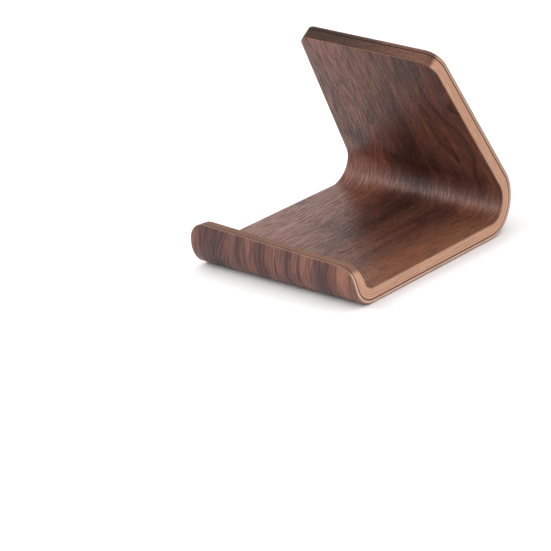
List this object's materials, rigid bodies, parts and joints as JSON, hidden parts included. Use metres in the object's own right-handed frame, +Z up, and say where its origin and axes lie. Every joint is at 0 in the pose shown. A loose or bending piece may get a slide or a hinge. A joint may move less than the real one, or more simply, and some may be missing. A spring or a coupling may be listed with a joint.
{
  "type": "phone stand",
  "caption": "Bent laminated-wood phone stand: a low upturned lip, a flat base and a back that leans forward over the base, cut from one strip.",
  "frame": {"origin": "middle of the footprint, on the plane that the base rests on", "axes": "+X to the stand's right side, -Y towards the lip at the front, +Y towards the rear bend, +Z up"},
  "size_m": [0.075, 0.1074, 0.0813],
  "materials": {
    "walnut_outer": "oiled walnut face veneer, satin, grain along the strip",
    "walnut_inner": "oiled walnut face veneer, satin, open pores along the strip",
    "pale_crossband": "pale beech veneer, sanded edge",
    "dark_veneer": "thin dark veneer, sanded edge",
    "pale_core": "pale beech veneer, sanded edge",
    "cured_glue": "cured amber wood glue"
  },
  "bodies": {
    "root": {"outer_face_veneer": "walnut_outer", "outer_crossband": "pale_crossband", "dark_veneer": "dark_veneer", "core_ply_1": "pale_core", "core_ply_2": "pale_core", "core_ply_3": "pale_core", "core_ply_4": "pale_core", "inner_face_veneer": "walnut_inner", "glue_film_1": "cured_glue", "glue_film_2": "cured_glue", "glue_film_3": "cured_glue", "glue_film_4": "cured_glue", "glue_film_5": "cured_glue", "glue_film_6": "cured_glue", "glue_film_7": "cured_glue"}
  },
  "joints": []
}
